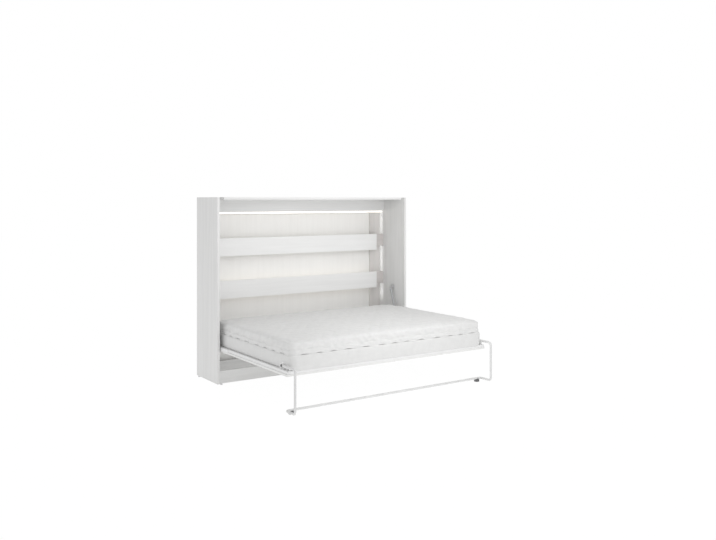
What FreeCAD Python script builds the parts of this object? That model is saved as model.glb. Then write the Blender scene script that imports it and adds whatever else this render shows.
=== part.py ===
import FreeCAD, Part
import math
import os
import re
import Sketcher
from FreeCAD import Placement, Rotation, Vector

# A horizontal cabinet bed, shown open: a shallow wall cabinet whose front lets down on
# two side pivots and stands on a bent tube leg.  +X runs along the cabinet, -Y towards
# the person getting into bed, +Z up.  The origin lies on the floor, in the middle of
# the open bed's footprint.  All sizes are millimetres.

doc = FreeCAD.newDocument("CabinetBed")
sheet = doc.addObject("Spreadsheet::Sheet", "Sizes")

SIZES = {
    # cabinet
    "cabinet_width": 2130,
    "cabinet_height": 1690,
    "cabinet_depth": 470,
    "front_plane": 427.5,          # Y of the cabinet's front edges
    "side_board": 22,
    "board": 18,
    "leg_relief": 90,              # notches in the top's front corners, for the leg
    "leg_relief_width": 43,
    "back_board": 8,
    "floor_gap": 12,
    "plinth_height": 113,
    "plinth_setback": 20,
    "fascia_setback": 365,
    "fascia_drop": 121,
    "fascia_thickness": 16,
    "rail_setback": 360,
    "rail_height": 170,
    "rail_upper_foot": 1130,
    "rail_lower_foot": 725,
    "rail_end_gap": 100,
    "cleat_height": 125,
    "cleat_overlap": 45,
    "upright_width": 130,
    "back_joint_level": 820,
    "led_width": 16,
    "led_depth": 9,
    "wall_hole_radius": 4,
    "wall_hole_level": 1600,
    "foot_radius": 11,
    "foot_stud_radius": 5,
    "foot_inset": 35,              # rear feet, in from the panels' rear edges
    "plinth_foot_inset": 29,       # front feet under the plinth, in from the end panels
    "led_drop": 14,                # the upper light shows this much under the fascia
    # let-down bed
    "pivot_setback": 70,           # pivot behind the front plane, and above the deck face
    "pivot_level": 372,
    "pin_radius": 8,
    "running_gap": 0.05,
    "bush_radius": 12,
    "deck_reach": 1215,            # front plane to the deck's front edge
    "deck_tail": 300,              # front plane to the deck's rear edge
    "deck_half_width": 1032,
    "deck_panel": 16,
    "deck_panel_count": 4,
    "deck_panel_gap": 2,
    "frame_height": 22,
    "frame_tube": 30,
    "frame_wall": 2,
    "frame_half_width": 1026,
    "slat_count": 22,
    "slat_width": 60,
    "slat_thickness": 12,
    "ledge_width": 22,
    "stop_thickness": 16,
    "hinge_plate": 5,
    "arm_plate": 6,
    "plate_front": 62,             # hinge plate's edges, out from the pivot
    "plate_rear": 58,
    "plate_rise": 50,
    "arm_nose": 140,               # the arm's reach along the frame, in front of the cabinet
    "arm_tail": 222,
    "arm_margin": 20,              # steel round the arm's bores
    # mattress
    "mattress_half_length": 996,
    "mattress_width": 1400,
    "mattress_front_gap": 10,
    "core_height": 118,
    "cover_height": 102,
    "crown": 10,
    "mattress_corner": 60,
    # leg loop
    "leg_x": 1016,
    "leg_pivot_inset": 100,        # pivot behind the deck's front edge
    "leg_reach": 100,              # tube in front of the deck's front edge
    "leg_tube_radius": 10,
    "leg_tube_wall": 1.5,
    "leg_bend": 26,
    "leg_bar_level": 30,
    "leg_bar_inset": 40,           # floor bar behind the deck's front edge
    "leg_pin_radius": 6,
    "leg_eye_radius": 15,
    "leg_bracket": 4,
    "leg_bracket_inset": 26,
    "bracket_length": 168,
    "bracket_margin": 24,          # steel round the leg's pin
    "bracket_foot": 14,
    "bracket_foot_sheet": 3,
    "foot_pad_height": 24,
    "foot_pad_length": 32,
    "foot_pad_width": 34,
    "foot_pad_gap": 0.2,           # round the tube in its seat
    "foot_pad_inset": 43,          # pads in from the leg's two sides, past its bends
    # gas springs
    "gas_x": 1012,
    "gas_top_setback": 205,
    "gas_top_level": 740,
    "gas_arm_back": 25,
    "gas_arm_up": 70,
    "gas_cylinder_radius": 11,
    "gas_cylinder_length": 185,
    "gas_rod_radius": 5,
    "gas_rod_overlap": 105,
    "gas_stud_radius": 5,
    "gas_eye_radius": 10,
    "gas_eye_width": 15,
    "gas_plate": 4,
}

for row, (alias, value) in enumerate(SIZES.items(), start=1):
    sheet.set(f"A{row}", alias)
    sheet.set(f"B{row}", str(value))
    sheet.setAlias(f"B{row}", alias)
doc.recompute()

SIDES = {"left": -1, "right": 1}
nodes = []


def size(name):
    """One driving dimension, read from the sheet."""
    return float(sheet.get(name))


def bound(text):
    """The expression text with every alias pointing at the sheet."""
    return re.sub(r"[a-z_]{3,}", lambda word: "Sizes." + word.group(0), text)


def keep(item):
    """Count the object among the sub-parts that are written out."""
    nodes.append(item)
    return item


def make_box(label, lengths, corner):
    """A board or bar: three bound edge lengths and the bound corner nearest -X -Y -Z."""
    item = doc.addObject("Part::Box", label)
    for prop, text in zip(("Length", "Width", "Height"), lengths):
        item.setExpression(prop, bound(text))
    for axis, text in zip("xyz", corner):
        item.setExpression(f"Placement.Base.{axis}", bound(text))
    return item


def make_rod(label, radius, length, centre, direction):
    """A round bar with a bound radius and length, from a bound centre along X, Y or Z."""
    turns = {"x": Rotation(Vector(0, 1, 0), 90), "y": Rotation(Vector(1, 0, 0), -90),
             "z": Rotation()}
    item = doc.addObject("Part::Cylinder", label)
    item.Placement = Placement(Vector(), turns[direction])
    item.setExpression("Radius", bound(radius))
    item.setExpression("Height", bound(length))
    for axis, text in zip("xyz", centre):
        item.setExpression(f"Placement.Base.{axis}", bound(text))
    return item


def cut(label, base, tools):
    """The base with every tool taken out of it."""
    if len(tools) > 1:
        tool = doc.addObject("Part::MultiFuse", label + "_tools")
        tool.Shapes = tools
    else:
        tool = tools[0]
    item = doc.addObject("Part::Cut", label)
    item.Base = base
    item.Tool = tool
    return item


def group(label, items):
    """Like pieces that share one node, each a solid of its own."""
    item = doc.addObject("Part::Compound", label)
    item.Links = items
    return item


def origin_plane(body, role):
    return next(plane for plane in body.Origin.OriginFeatures if plane.Role == role)


def sketch_on(body, name, role, offset):
    """A sketch on one of the body's own origin planes, moved out by a bound offset."""
    sketch = body.newObject("Sketcher::SketchObject", name)
    sketch.AttachmentSupport = [(origin_plane(body, role), "")]
    sketch.MapMode = "FlatFace"
    sketch.setExpression("AttachmentOffset.Base.z", bound(offset))
    return sketch


def draw_outline(sketch, points):
    """A closed outline of straight lines through the points."""
    first = sketch.GeometryCount
    corners = [Vector(u, v, 0) for u, v in points]
    for start, end in zip(corners, corners[1:] + corners[:1]):
        sketch.addGeometry(Part.LineSegment(start, end), False)
    for index in range(len(corners)):
        following = (index + 1) % len(corners)
        sketch.addConstraint(
            Sketcher.Constraint("Coincident", first + index, 2, first + following, 1))


def draw_circle(sketch, centre, radius):
    """A circle whose radius is bound to the sheet."""
    circle = Part.Circle(Vector(centre[0], centre[1], 0), Vector(0, 0, 1), 1)
    index = sketch.addGeometry(circle, False)
    rule = sketch.addConstraint(Sketcher.Constraint("Radius", index, 1.0))
    sketch.setExpression(f"Constraints[{rule}]", bound(radius))


def make_plate(label, side, points, inner_face, thickness, holes=()):
    """A flat plate across X, at the given distance from the middle of the cabinet."""
    body = doc.addObject("PartDesign::Body", label)
    sign = SIDES[side]
    outline = sketch_on(body, label + "_outline", "YZ_Plane", f"{sign} * ({inner_face})")
    draw_outline(outline, points)
    pad = body.newObject("PartDesign::Pad", label + "_pad")
    pad.Profile = outline
    pad.Reversed = sign < 0
    pad.setExpression("Length", bound(thickness))
    if holes:
        bores = sketch_on(body, label + "_bores", "YZ_Plane", f"{sign} * ({inner_face})")
        for centre, radius in holes:
            draw_circle(bores, centre, radius)
        doc.recompute()
        pocket = body.newObject("PartDesign::Pocket", label + "_pocket")
        pocket.Profile = bores
        pocket.Midplane = True
        pocket.setExpression("Length", bound(f"4 * ({thickness})"))
    doc.recompute()
    return body


def make_turned(label, profile, placement):
    """A turned piece: a closed half outline of (radius, height) points spun about Z."""
    body = doc.addObject("PartDesign::Body", label)
    sketch = sketch_on(body, label + "_profile", "XZ_Plane", "0 * board")
    draw_outline(sketch, profile)
    spin = body.newObject("PartDesign::Revolution", label + "_spin")
    spin.Profile = sketch
    spin.ReferenceAxis = (sketch, ["V_Axis"])
    spin.Angle = 360
    doc.recompute()
    body.Placement = placement
    return body


def from_x(side, start, thickness):
    """The low X corner of a piece that starts at a distance out from the middle."""
    return f"{start}" if SIDES[side] > 0 else f"-({start}) - ({thickness})"


def facing_out(side, distance, y, z):
    """A placement whose own Z points away from the middle, at a distance along X."""
    sign = SIDES[side]
    return Placement(Vector(sign * distance, y, z), Rotation(Vector(0, 1, 0), 90 * sign))


def make_pair(label, profile, distance, y, z):
    """The same turned piece on both sides, its axis along X, as one node."""
    return keep(group(label, [
        make_turned(f"{label}_{side}", profile, facing_out(side, distance, y, z))
        for side in SIDES]))


# ---------------------------------------------------------------------------------
# Levels and planes that several pieces share: as expressions, and as numbers for the
# pieces that are drawn from points
# ---------------------------------------------------------------------------------
inner_x = "(cabinet_width / 2 - side_board)"
across = f"2 * {inner_x}"
deck_face = "(pivot_level - pivot_setback)"
frame_foot = f"({deck_face} + deck_panel)"
frame_top = f"({frame_foot} + frame_height)"
deck_front = "(front_plane - deck_reach)"
back_face = "(front_plane + cabinet_depth - back_board)"
upright_face = f"({back_face} - board)"

front_plane = size("front_plane")
panel_face = size("cabinet_width") / 2 - size("side_board")
frame_half = size("frame_half_width")
pivot_y = front_plane + size("pivot_setback")
pivot_z = size("pivot_level")
frame_foot_z = pivot_z - size("pivot_setback") + size("deck_panel")
frame_top_z = frame_foot_z + size("frame_height")
deck_front_y = front_plane - size("deck_reach")
leg_pivot_y = deck_front_y + size("leg_pivot_inset")
gas_top = Vector(0, front_plane + size("gas_top_setback"), size("gas_top_level"))
gas_foot = Vector(0, pivot_y + size("gas_arm_back"), pivot_z + size("gas_arm_up"))


# ---------------------------------------------------------------------------------
# Cabinet carcass
# ---------------------------------------------------------------------------------
def make_foot_bore(label, x, y):
    """The bore that a levelling foot's stud turns up into, from under a board."""
    return make_rod(label, "foot_stud_radius + 0.5", "60", (x, y, "floor_gap - 10"), "z")


def make_side_panel(side):
    """A full-depth end panel, bored from below for the rear levelling foot's stud."""
    panel = make_box(
        f"side_panel_{side}_board",
        ("side_board", "cabinet_depth", "cabinet_height - floor_gap"),
        (from_x(side, inner_x, "side_board"), "front_plane", "floor_gap"))
    middle = f"{SIDES[side]} * (cabinet_width / 2 - side_board / 2)"
    bore = make_foot_bore(f"side_panel_{side}_bore", middle,
                          "front_plane + cabinet_depth - foot_inset")
    keep(cut(f"side_panel_{side}", panel, [bore]))


def make_levelling_feet():
    """Four screw-in feet, under the plinth's ends and the rear of the end panels."""
    pad, height, stud = size("foot_radius"), size("floor_gap"), size("foot_stud_radius")
    nut, reach = pad - 5, height + 28
    profile = [(0, 0), (pad, 0), (pad, height / 2), (nut, height / 2), (nut, height),
               (stud, height), (stud, reach), (0, reach)]
    spots = {"front": (panel_face - size("plinth_foot_inset"),
                       front_plane + size("plinth_setback") + size("board") / 2),
             "rear": (panel_face + size("side_board") / 2,
                      front_plane + size("cabinet_depth") - size("foot_inset"))}
    feet = [make_turned(f"foot_{side}_{end}", profile,
                        Placement(Vector(sign * x, y, 0), Rotation()))
            for side, sign in SIDES.items()
            for end, (x, y) in spots.items()]
    keep(group("levelling_feet", feet))


def make_carcass_boards():
    """Top, plinth, rear floor rail and the fascia that hides the upper light."""
    start = f"-{inner_x}"
    top = make_box("top_panel_board", (across, "cabinet_depth", "side_board"),
                   (start, "front_plane", "cabinet_height - side_board"))
    reliefs = [make_box(f"top_relief_{side}",
                        ("leg_relief_width + 10", "leg_relief + 10", "2 * side_board"),
                        (from_x(side, f"{inner_x} - leg_relief_width",
                                "leg_relief_width + 10"),
                         "front_plane - 10", "cabinet_height - 1.5 * side_board"))
               for side in SIDES]
    keep(cut("top_panel", top, reliefs))
    plinth = make_box("plinth_plain", (across, "board", "plinth_height"),
                      (start, "front_plane + plinth_setback", "floor_gap"))
    bores = [make_foot_bore(f"plinth_bore_{side}", f"{sign} * ({inner_x} - plinth_foot_inset)",
                            "front_plane + plinth_setback + board / 2")
             for side, sign in SIDES.items()]
    keep(cut("plinth_board", plinth, bores))
    keep(make_box("rear_floor_rail", (across, "board", "plinth_height"),
                  (start, f"{upright_face} - board", "floor_gap")))
    keep(make_box("fascia_board", (across, "fascia_thickness", "fascia_drop"),
                  (start, "front_plane + fascia_setback",
                   "cabinet_height - side_board - fascia_drop")))


def make_back():
    """The back in two sheets on two uprights, bored for the wall fixings."""
    start = f"-{inner_x}"
    keep(make_box("back_panel_lower", (across, "back_board", "back_joint_level - floor_gap"),
                  (start, back_face, "floor_gap")))
    upper = make_box("back_upper_sheet",
                     (across, "back_board", "cabinet_height - side_board - back_joint_level"),
                     (start, back_face, "back_joint_level"))
    bores = []
    for side, sign in SIDES.items():
        centre = (f"{sign} * ({inner_x} - upright_width / 2)", f"{upright_face} - 20",
                  "wall_hole_level")
        bores.append(make_rod(f"wall_bore_{side}", "wall_hole_radius", "80", centre, "y"))
        post = make_box(f"upright_{side}_post",
                        ("upright_width", "board", "cabinet_height - side_board - floor_gap"),
                        (from_x(side, f"{inner_x} - upright_width", "upright_width"),
                         upright_face, "floor_gap"))
        keep(cut(f"upright_{side}", post, [bores[-1]]))
    keep(cut("back_panel_upper", upper, bores))


def make_rail(name, foot):
    """A display rail across the inside, with a light channel along its two edges."""
    half = f"({inner_x} - rail_end_gap)"
    behind = "front_plane + rail_setback + board"
    keep(make_box(f"rail_{name}", (f"2 * {half}", "board", "rail_height"),
                  (f"-{half}", "front_plane + rail_setback", foot)))
    light_half = f"({half} - cleat_overlap - 5)"
    channels = [make_box(f"led_{name}_{edge}", (f"2 * {light_half}", "led_depth", "led_width"),
                         (f"-{light_half}", behind, level))
                for edge, level in (("foot", f"{foot} + 4"),
                                    ("top", f"{foot} + rail_height - led_width - 4"))]
    keep(group(f"led_channels_rail_{name}", channels))
    length = "(rail_end_gap + cleat_overlap)"
    return [make_box(f"cleat_{name}_{side}", (length, "board", "cleat_height"),
                     (from_x(side, f"{half} - cleat_overlap", length), behind,
                      f"{foot} + rail_height - cleat_height - 3"))
            for side in SIDES]


def make_interior():
    """Rails with the cleats that carry them, and the light channel on the fascia."""
    cleats = make_rail("upper", "rail_upper_foot") + make_rail("lower", "rail_lower_foot")
    keep(group("rail_cleats", cleats))
    keep(make_box("led_channel_fascia", (f"{across} - 40", "led_depth", "led_width"),
                  (f"20 - {inner_x}", "front_plane + fascia_setback + fascia_thickness",
                   "cabinet_height - side_board - fascia_drop - led_drop")))


# ---------------------------------------------------------------------------------
# Pivots between the cabinet and the bed
# ---------------------------------------------------------------------------------
def make_hinge_side(side):
    """A steel plate on the end panel, and the bed's arm with a bore for its bush."""
    front, back = pivot_y - size("plate_front"), pivot_y + size("plate_rear")
    rise = size("plate_rise")
    keep(make_plate(f"hinge_plate_{side}", side,
                    [(front, pivot_z - rise), (back, pivot_z - rise),
                     (back, pivot_z + rise), (front, pivot_z + rise)],
                    f"{inner_x} - hinge_plate", "hinge_plate"))
    nose, tail = front_plane - size("arm_nose"), front_plane + size("arm_tail")
    margin = size("arm_margin")
    step = pivot_y - 2 * margin
    keep(make_plate(f"hinge_arm_{side}", side,
                    [(nose, frame_foot_z), (tail, frame_foot_z), (tail, frame_top_z + 12),
                     (gas_foot.y + margin, gas_foot.z + margin),
                     (gas_foot.y - margin, gas_foot.z + margin),
                     (step, pivot_z + margin), (step, frame_top_z), (nose, frame_top_z)],
                    "frame_half_width", "arm_plate", [((pivot_y, pivot_z), "bush_radius")]))


def make_pins():
    """Headed pins on the hinge plates, and the flanged bushes that run on them."""
    pin, head = size("pin_radius"), size("pin_radius") + 5
    inner = frame_half - 5
    reach = panel_face - size("hinge_plate") - inner
    make_pair("pivot_pins", [(0, 0), (head, 0), (head, 3.6), (pin, 3.6), (pin, reach),
                             (0, reach)], inner, pivot_y, pivot_z)
    wall, arm = size("bush_radius"), size("arm_plate")
    bore, flange = pin + size("running_gap"), wall + 3
    make_pair("pivot_bushes", [(bore, 0), (wall, 0), (wall, arm), (flange, arm),
                               (flange, arm + 1.5), (bore, arm + 1.5)],
              frame_half, pivot_y, pivot_z)


def make_screws(label, head_radius, spots, face):
    """Countersunk heads that stand on a plate, at the same spots on both sides."""
    profile = [(0, 0), (head_radius, 0), (head_radius, 1.6), (head_radius / 2, 3), (0, 3)]
    screws = [make_turned(f"{label}_{side}_{index}", profile, facing_out(side, face - 3, y, z))
              for side in SIDES
              for index, (y, z) in enumerate(spots)]
    keep(group(label, screws))


# ---------------------------------------------------------------------------------
# The bed that lets down: face panels, steel frame, slats
# ---------------------------------------------------------------------------------
def make_face_panels():
    """Boards side by side that close the cabinet when the bed is up."""
    width = "((2 * deck_half_width + deck_panel_gap) / deck_panel_count)"
    for index in range(int(size("deck_panel_count"))):
        keep(make_box(f"face_panel_{index + 1}",
                      (f"{width} - deck_panel_gap", "deck_reach + deck_tail", "deck_panel"),
                      (f"-deck_half_width + {index} * {width}", deck_front, deck_face)))


def make_tube(label, lengths, corner, along):
    """A rectangular steel tube: a bar with its bore cut right through along one axis."""
    bar = make_box(label + "_bar", lengths, corner)
    bore_lengths, bore_corner = [], []
    for axis, length, start in zip("xyz", lengths, corner):
        through = axis == along
        bore_lengths.append(f"{length} + 10" if through else f"{length} - 2 * frame_wall")
        bore_corner.append(f"{start} - 5" if through else f"{start} + frame_wall")
    keep(cut(label, bar, [make_box(label + "_bore", bore_lengths, bore_corner)]))


def make_frame():
    """Steel frame on the face panels, with ledges and slats for the mattress."""
    inner = "(frame_half_width - frame_tube)"
    front_y = f"({deck_front} + 2)"
    rear_y = "(front_plane + 196)"
    for name, level in (("front", front_y), ("rear", rear_y)):
        make_tube(f"frame_{name}_tube", (f"2 * {inner}", "frame_tube", "frame_height"),
                  (f"-{inner}", level, frame_foot), "x")
    for side in SIDES:
        make_tube(f"frame_side_tube_{side}",
                  ("frame_tube", f"{rear_y} + frame_tube - {front_y}", "frame_height"),
                  (from_x(side, inner, "frame_tube"), front_y, frame_foot), "y")
    ledge_half = f"({inner} - 2)"
    ledge_height = "frame_height - slat_thickness"
    middle_y = f"({front_y} + frame_tube + {rear_y}) / 2"
    keep(make_box("frame_centre_beam", (f"2 * {ledge_half}", "frame_tube", ledge_height),
                  (f"-{ledge_half}", f"{middle_y} - frame_tube / 2", frame_foot)))
    ledges = [make_box(f"ledge_{name}", (f"2 * {ledge_half}", "ledge_width", ledge_height),
                       (f"-{ledge_half}", level, frame_foot))
              for name, level in (("front", f"{front_y} + frame_tube"),
                                  ("rear", f"{rear_y} - ledge_width"))]
    keep(group("slat_ledges", ledges))
    pitch = f"((2 * {ledge_half} - 40 - slat_width) / (slat_count - 1))"
    slats = [make_box(f"slat_{index + 1}",
                      ("slat_width", f"{rear_y} - {front_y} - frame_tube - 4",
                       "slat_thickness"),
                      (f"-{ledge_half} + 20 + {index} * {pitch}",
                       f"{front_y} + frame_tube + 2", f"{frame_top} - slat_thickness"))
             for index in range(int(size("slat_count")))]
    keep(group("slats", slats))
    keep(make_box("mattress_stop", ("2 * (mattress_half_length - 6)", "stop_thickness", "110"),
                  ("-(mattress_half_length - 6)", "front_plane + 197", frame_top)))


# ---------------------------------------------------------------------------------
# Mattress: a smooth core with a quilted cover on top
# ---------------------------------------------------------------------------------
def rounded_wire(half_x, half_y, corner, level):
    """A rounded rectangle about the mattress's middle: four lines and four quarter arcs."""
    centre_y = (deck_front_y + size("mattress_front_gap") + size("mattress_width") / 2)
    turn = corner * (1 - math.sqrt(0.5))
    ends = []
    edges = []
    for sign_x, sign_y in ((1, -1), (1, 1), (-1, 1), (-1, -1)):
        outer = Vector(sign_x * half_x, centre_y + sign_y * half_y, level)
        on_long = outer - Vector(sign_x * corner, 0, 0)
        on_short = outer - Vector(0, sign_y * corner, 0)
        middle = outer - Vector(sign_x * turn, sign_y * turn, 0)
        start, end = (on_long, on_short) if sign_x == -sign_y else (on_short, on_long)
        ends.append((start, end))
        edges.append(Part.Arc(start, middle, end).toShape())
    for index in range(4):
        edges.append(Part.makeLine(ends[index][1], ends[(index + 1) % 4][0]))
    return Part.Wire(Part.__sortEdges__(edges))


def make_cushion(label, rings):
    """A sewn form: rounded outlines (inset, level) lofted one above the other."""
    half_x = size("mattress_half_length")
    half_y = size("mattress_width") / 2
    corner = size("mattress_corner")
    wires = [rounded_wire(half_x - inset, half_y - inset, max(corner - inset / 5, 25), level)
             for inset, level in rings]
    item = doc.addObject("Part::Feature", label)
    item.Shape = Part.makeLoft(wires, True, True)
    keep(item)


def make_mattress():
    """The sides belly out between the seams and draw in at them; the top is crowned."""
    foot, core, cover = frame_top_z, size("core_height"), size("cover_height")
    seam, crown = foot + core, size("crown")
    top = seam + cover
    make_cushion("mattress_core", [
        (12, foot), (5, foot + core * 0.08), (1, foot + core * 0.25), (0, foot + core * 0.5),
        (1, foot + core * 0.75), (5, foot + core * 0.92), (12, seam)])
    make_cushion("mattress_cover", [
        (12, seam), (6, seam + cover * 0.12), (4, seam + cover * 0.4),
        (6, seam + cover * 0.7), (12, top - 8), (24, top - 2), (60, top + crown * 0.3),
        (160, top + crown * 0.6), (320, top + crown * 0.85), (560, top + crown)])


# ---------------------------------------------------------------------------------
# Leg loop: one bent tube with an eye at each end, on pins at the deck's front corners
# ---------------------------------------------------------------------------------
def leg_wire():
    """Centre line: forward from the eye, down, back along the floor and across."""
    x, bend, level = size("leg_x"), size("leg_bend"), size("leg_bar_level")
    front = deck_front_y - size("leg_reach")
    bar = deck_front_y + size("leg_bar_inset")
    one_side = [(leg_pivot_y, pivot_z), (front, pivot_z), (front, level), (bar, level)]
    corners = [Vector(-x, y, z) for y, z in one_side]
    corners += [Vector(x, y, z) for y, z in reversed(one_side)]
    edges = []
    last = corners[0]
    for before, corner, after in zip(corners, corners[1:], corners[2:]):
        incoming = (before - corner).normalize() * bend
        outgoing = (after - corner).normalize() * bend
        middle = corner + (incoming + outgoing) * (1 - math.sqrt(0.5))
        edges.append(Part.makeLine(last, corner + incoming))
        edges.append(Part.Arc(corner + incoming, middle, corner + outgoing).toShape())
        last = corner + outgoing
    edges.append(Part.makeLine(last, corners[-1]))
    return Part.Wire(edges)


def sweep(path, radius):
    circle = Part.makeCircle(radius, path.Vertexes[0].Point, Vector(0, 1, 0))
    return path.makePipeShell([Part.Wire(circle)], True, False)


def make_leg():
    """The loop is hollow; each eye is a boss bored for its pin; two pads stand on the floor."""
    path, outer = leg_wire(), size("leg_tube_radius")
    x, eye = size("leg_x"), size("leg_eye_radius")
    bore = size("leg_pin_radius") + size("running_gap")
    along = Vector(1, 0, 0)
    tube = sweep(path, outer).cut(sweep(path, outer - size("leg_tube_wall")))
    starts = [Vector(sign * x - outer, leg_pivot_y, pivot_z) for sign in SIDES.values()]
    for start in starts:
        tube = tube.fuse(Part.makeCylinder(eye, 2 * outer, start, along))
    for start in starts:
        tube = tube.cut(Part.makeCylinder(bore, 4 * outer, start - along * outer, along))
    loop = keep(doc.addObject("Part::Feature", "leg_loop"))
    loop.Shape = tube.removeSplitter()
    bar = deck_front_y + size("leg_bar_inset")
    long, wide, tall = (size("foot_pad_" + name) for name in ("length", "width", "height"))
    for side, sign in SIDES.items():
        middle = sign * (x - size("foot_pad_inset"))
        block = Part.makeBox(long, wide, tall, Vector(middle - long / 2, bar - wide / 2, 0))
        seat = Part.makeCylinder(outer + size("foot_pad_gap"), 2 * long,
                                 Vector(middle - long, bar, size("leg_bar_level")), along)
        pad = keep(doc.addObject("Part::Feature", f"leg_foot_{side}"))
        pad.Shape = block.cut(seat)


def make_leg_brackets():
    """Angle brackets on the frame's front corners, their pins, and three bolts each."""
    inner = "frame_half_width - leg_bracket_inset"
    front = deck_front_y + 2
    back, margin = front + size("bracket_length"), size("bracket_margin")
    for side in SIDES:
        web = make_plate(f"leg_bracket_web_{side}", side,
                         [(front, frame_top_z), (back, frame_top_z), (back, frame_top_z + 22),
                          (leg_pivot_y + margin, pivot_z + margin),
                          (leg_pivot_y - margin, pivot_z + margin),
                          (front, frame_top_z + 30)], inner, "leg_bracket")
        foot = make_box(f"leg_bracket_foot_{side}",
                        ("bracket_foot", "bracket_length", "bracket_foot_sheet"),
                        (from_x(side, f"{inner} + leg_bracket", "bracket_foot"),
                         f"{deck_front} + 2", frame_top))
        whole = doc.addObject("Part::Fuse", f"leg_bracket_{side}")
        whole.Base = web
        whole.Tool = foot
        keep(whole)
    face = frame_half - size("leg_bracket_inset") + size("leg_bracket")
    inner_end = size("leg_x") - size("leg_tube_radius") - 0.4 - face
    outer_end = size("leg_x") + size("leg_tube_radius") + 0.4 - face
    pin, collar, head = size("leg_pin_radius"), size("leg_pin_radius") + 3, 10
    make_pair("leg_pins", [(0, 0), (collar, 0), (collar, inner_end), (pin, inner_end),
                           (pin, outer_end), (head, outer_end), (head, outer_end + 3.4),
                           (0, outer_end + 3.4)], face, leg_pivot_y, pivot_z)
    profile = [(0, 0), (4, 0), (4, 1.5), (2.5, 3), (0, 3.5)]
    bolts = [make_turned(f"bracket_bolt_{side}_{index}", profile,
                         facing_out(side, face, deck_front_y + 30 + 50 * index,
                                    frame_top_z + 9))
             for side in SIDES
             for index in range(3)]
    keep(group("leg_bracket_bolts", bolts))


# ---------------------------------------------------------------------------------
# Gas springs: they push the bed's arms back and take its weight
# ---------------------------------------------------------------------------------
def gas_placement(side):
    """The spring's own frame: Z from the top pivot towards the foot."""
    line = (gas_foot - gas_top).normalize()
    tilt = math.degrees(math.atan2(-line.y, line.z))
    start = gas_top + Vector(SIDES[side] * size("gas_x"), 0, 0)
    return Placement(start, Rotation(Vector(1, 0, 0), tilt))


def make_gas_spring(side):
    """A hollow cylinder with its eye, and a rod with its piston and rod end."""
    place, reach = gas_placement(side), (gas_foot - gas_top).Length
    radius, rod, gap = size("gas_cylinder_radius"), size("gas_rod_radius"), size("running_gap")
    eye, width = size("gas_eye_radius"), size("gas_eye_width")
    start, cap, chamber = 18, 12, radius - 1.5
    end = start + size("gas_cylinder_length")
    keep(make_turned(f"gas_cylinder_{side}", [
        (0, start), (radius, start), (radius, end), (rod + gap, end), (rod + gap, end - cap),
        (chamber, end - cap), (chamber, start + cap), (0, start + cap)], place))
    tip, shoulder = end - size("gas_rod_overlap"), reach - 24
    keep(make_turned(f"gas_rod_{side}", [
        (0, tip), (chamber - 0.1, tip), (chamber - 0.1, tip + 8), (rod, tip + 8),
        (rod, shoulder), (0, shoulder)], place))
    along, side_on = Vector(0, 0, 1), Vector(1, 0, 0)
    ring = Part.makeCylinder(eye, width, Vector(-width / 2, 0, 0), side_on)
    bore = Part.makeCylinder(size("gas_stud_radius") + gap, 2 * width,
                             Vector(-width, 0, 0), side_on)
    top = keep(doc.addObject("Part::Feature", f"gas_eye_{side}"))
    top.Shape = ring.fuse(Part.makeCylinder(rod, start, Vector(), along)).cut(bore)
    top.Placement = place
    ball = Part.makeCylinder(eye, width, Vector(-width / 2, 0, reach), side_on)
    foot = keep(doc.addObject("Part::Feature", f"gas_rod_end_{side}"))
    foot.Shape = ball.fuse(Part.makeCylinder(rod + 1.5, 24, Vector(0, 0, shoulder), along))
    foot.Placement = place


def make_gas_mounts():
    """Plates and shouldered studs on the end panels, and the studs on the bed's arms."""
    plates = [make_plate(f"gas_plate_{side}", side,
                         [(gas_top.y - 26, gas_top.z - 30), (gas_top.y + 26, gas_top.z - 30),
                          (gas_top.y + 26, gas_top.z + 30), (gas_top.y - 26, gas_top.z + 30)],
                         f"{inner_x} - gas_plate", "gas_plate")
              for side in SIDES]
    keep(group("gas_plates", plates))
    stud, width, collar = size("gas_stud_radius"), size("gas_eye_width"), 8
    inner = size("gas_x") - width / 2
    reach = panel_face - size("gas_plate") - inner
    make_pair("gas_studs_top", [
        (0, -2.5), (collar, -2.5), (collar, -0.5), (stud, -0.5), (stud, width + 0.5),
        (collar, width + 0.5), (collar, reach), (0, reach)], inner, gas_top.y, gas_top.z)
    tip = size("gas_x") + width / 2 + 0.5
    reach = frame_half - tip
    make_pair("gas_studs_foot", [(0, 0), (collar - 1, 0), (collar + 1, 2),
                                 (collar + 1, reach), (0, reach)],
              tip, gas_foot.y, gas_foot.z)


# ---------------------------------------------------------------------------------
# Assembly
# ---------------------------------------------------------------------------------
for side in SIDES:
    make_side_panel(side)
make_carcass_boards()
make_back()
make_interior()
make_levelling_feet()
make_face_panels()
make_frame()
make_mattress()
make_leg()
make_leg_brackets()
for side in SIDES:
    make_hinge_side(side)
    make_gas_spring(side)
make_pins()
make_gas_mounts()
make_screws("hinge_plate_screws", 5,
            [(pivot_y + y, pivot_z + z) for y in (-54, 44) for z in (-38, 38)],
            panel_face - size("hinge_plate"))
make_screws("gas_plate_screws", 4.5,
            [(gas_top.y + step, gas_top.z + 1.25 * step) for step in (-16, 16)],
            panel_face - size("gas_plate"))

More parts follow.
